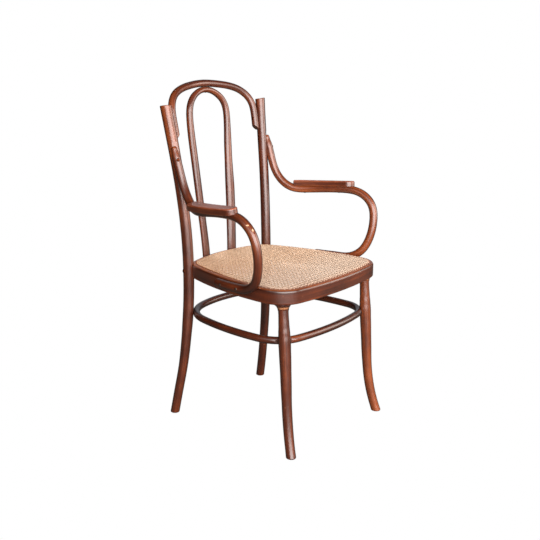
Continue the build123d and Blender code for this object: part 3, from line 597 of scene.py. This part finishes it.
mesh = bpy.data.meshes.new("cane_weave")
V, Fc, Tr = np.vstack(verts), np.vstack(faces), np.vstack(tris)
mesh.vertices.add(len(V))
mesh.vertices.foreach_set("co", V.astype(np.float32).ravel())
mesh.loops.add(len(Fc) * 4 + len(Tr) * 3)
mesh.loops.foreach_set("vertex_index", np.concatenate([Fc.ravel(), Tr.ravel()]).astype(np.int32))
mesh.polygons.add(len(Fc) + len(Tr))
starts = np.concatenate([np.arange(len(Fc)) * 4, len(Fc) * 4 + np.arange(len(Tr)) * 3])
mesh.polygons.foreach_set("loop_start", starts.astype(np.int32))
mesh.polygons.foreach_set("use_smooth", np.ones(len(Fc) + len(Tr), bool))
mesh.polygons.foreach_set("material_index", np.concatenate(mats + tri_mats).astype(np.int32))
mesh.update(calc_edges=True)
at = mesh.attributes.new("strand", "FLOAT_VECTOR", "POINT")
at.data.foreach_set("vector", np.vstack(strand).astype(np.float32).ravel())
mesh.validate()
mesh.materials.append(cane_mat)
mesh.materials.append(bind_mat)
weave = bpy.data.objects.new("cane_weave", mesh)
scene.collection.objects.link(weave)
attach(weave, "root")
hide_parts("cane_panel")
print("weave", len(V), len(Fc))

# ------------------------------------------------------------------ floor, light, backdrop
floor_mat = bpy.data.materials.new("pale_floor")
floor_mat.use_nodes = True
ft = floor_mat.node_tree
ft.nodes.clear()
f_out = ft.nodes.new("ShaderNodeOutputMaterial")
f_mix = ft.nodes.new("ShaderNodeMixShader")
f_path = ft.nodes.new("ShaderNodeLightPath")
f_seen = ft.nodes.new("ShaderNodeEmission")
f_dif = ft.nodes.new("ShaderNodeBsdfDiffuse")
f_seen.inputs["Color"].default_value = (1, 1, 1, 1)
f_seen.inputs["Strength"].default_value = 1.0
f_dif.inputs["Color"].default_value = (0.08, 0.07, 0.06, 1)
ft.links.new(f_path.outputs["Is Camera Ray"], f_mix.inputs[0])
ft.links.new(f_dif.outputs[0], f_mix.inputs[1])
ft.links.new(f_seen.outputs[0], f_mix.inputs[2])
ft.links.new(f_mix.outputs[0], f_out.inputs["Surface"])
floor_mesh = bpy.data.meshes.new("floor")
S = 30.0
floor_mesh.from_pydata([(-S, -S, 0), (S, -S, 0), (S, S, 0), (-S, S, 0)], [], [(0, 1, 2, 3)])
floor_mesh.materials.append(floor_mat)
floor = bpy.data.objects.new("floor", floor_mesh)
scene.collection.objects.link(floor)


def softbox(name, pos, aim, size, power, colour=(1, 1, 1), mirrored=True):
    d = bpy.data.lights.new(name, "AREA")
    d.shape = "RECTANGLE"
    d.size, d.size_y = size
    d.energy = power
    d.color = colour
    o = bpy.data.objects.new(name, d)
    scene.collection.objects.link(o)
    o.location = pos
    o.rotation_mode = "QUATERNION"
    o.rotation_quaternion = (Vector(aim) - Vector(pos)).to_track_quat("-Z", "Y")
    o.visible_camera = False
    o.visible_glossy = mirrored
    return o


softbox("window", (-1.65, -2.90, 1.50), (0, 0, 0.55), (4.6, 2.8), 265, (1.0, 0.925, 0.895))
softbox("fill", (-3.1, -0.25, 2.3), (0, 0, 0.85), (2.6, 2.0), 15, (1.0, 0.92, 0.88))
softbox("side", (2.2, -2.3, 1.3), (0, 0, 0.6), (2.4, 2.0), 55, (1.0, 0.89, 0.80))
softbox("back", (1.9, 2.9, 1.9), (0, 0, 0.5), (2.4, 2.4), 190, (1.0, 0.95, 0.92), False)
softbox("rim", (2.7, 1.7, 1.5), (0, 0, 0.6), (3.2, 2.6), 9, (0.92, 0.93, 1.0))
softbox("ceiling", (0.0, -0.6, 3.4), (0, 0, 0.4), (3.0, 3.0), 36, (1.0, 0.98, 0.96), False)

world = bpy.data.worlds.new("studio")
scene.world = world
world.use_nodes = True
wt = world.node_tree
bg = wt.nodes["Background"]
path = wt.nodes.new("ShaderNodeLightPath")
mixw = wt.nodes.new("ShaderNodeMix")
mixw.data_type = "FLOAT"
wt.links.new(path.outputs["Is Camera Ray"], mixw.inputs[0])
mixw.inputs[2].default_value = 0.005
mixw.inputs[3].default_value = 1.0
bg.inputs["Color"].default_value = (1, 1, 1, 1)
wt.links.new(mixw.outputs[0], bg.inputs["Strength"])

scene.view_settings.view_transform = "Standard"
scene.view_settings.look = "None"
